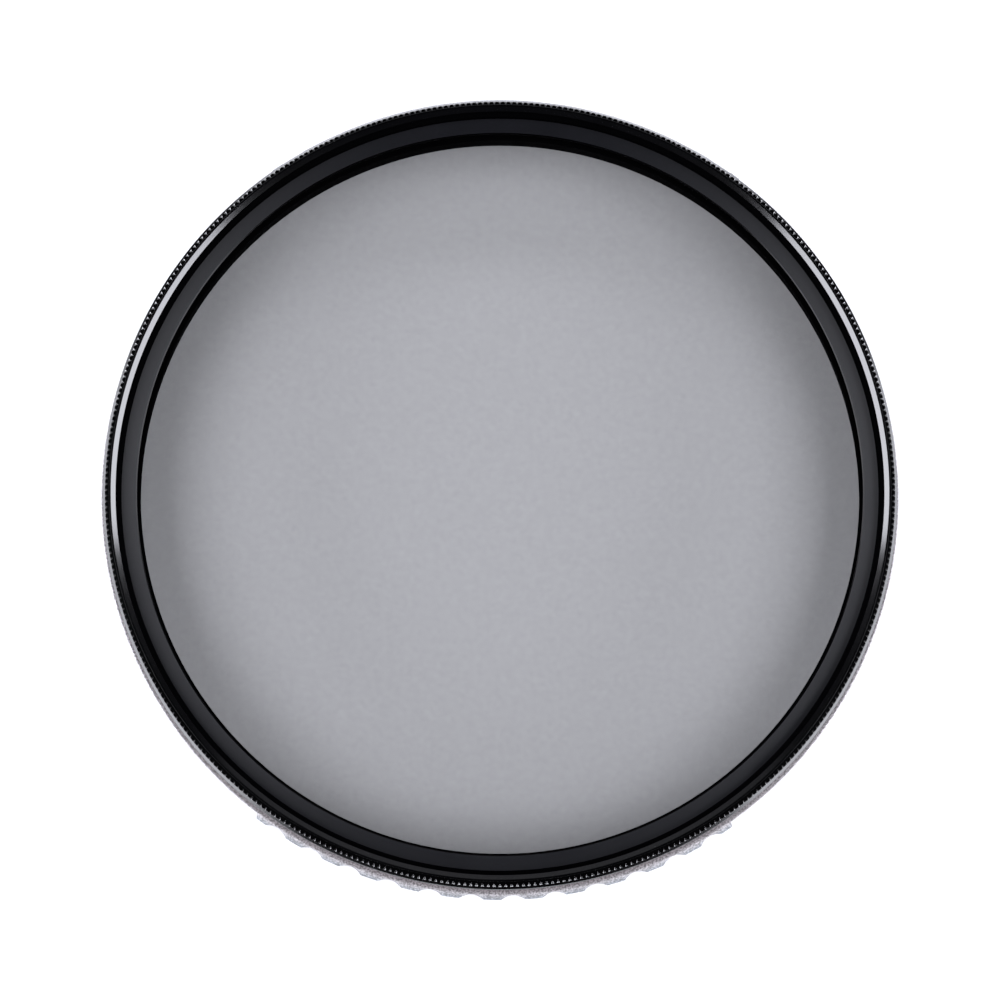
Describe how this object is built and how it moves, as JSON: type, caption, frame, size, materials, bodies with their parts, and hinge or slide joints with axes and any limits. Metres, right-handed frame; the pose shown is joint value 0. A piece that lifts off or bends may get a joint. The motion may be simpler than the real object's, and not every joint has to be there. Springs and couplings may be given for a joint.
{
  "type": "screw in lens filter",
  "caption": "Round screw-in polarising lens filter: a knurled front ring with a grey glass disc turns on a threaded base ring with scalloped grips.",
  "frame": {"origin": "on the optical axis, in the plane of the rear end of the male thread on which the filter lies", "axes": "+Z along the optical axis from the lens side to the front, +Y to the far grip group, +X to the right"},
  "size_m": [0.0808, 0.0818, 0.0092],
  "materials": {
    "black_anodised": "satin black anodised",
    "bare_rim": "blasted bare metal rim",
    "spring_steel": "bright spring ring",
    "clear_glass": "polished and coated",
    "grey_film": "neutral grey film",
    "clear_film": "clear film"
  },
  "bodies": {
    "base": {"base_ring": "bare_rim", "snap_ring": "spring_steel"},
    "front": {"front_ring": "black_anodised", "front_glass": "clear_glass", "polarising_film": "grey_film", "quarter_wave_film": "clear_film", "rear_glass": "clear_glass", "retaining_ring": "black_anodised"}
  },
  "joints": [
    {"name": "front_rotation", "type": "hinge", "parent": "base", "child": "front", "pos_m": [0, 0, 0.0042], "axis": [0, 0, 1], "continuous": true}
  ]
}
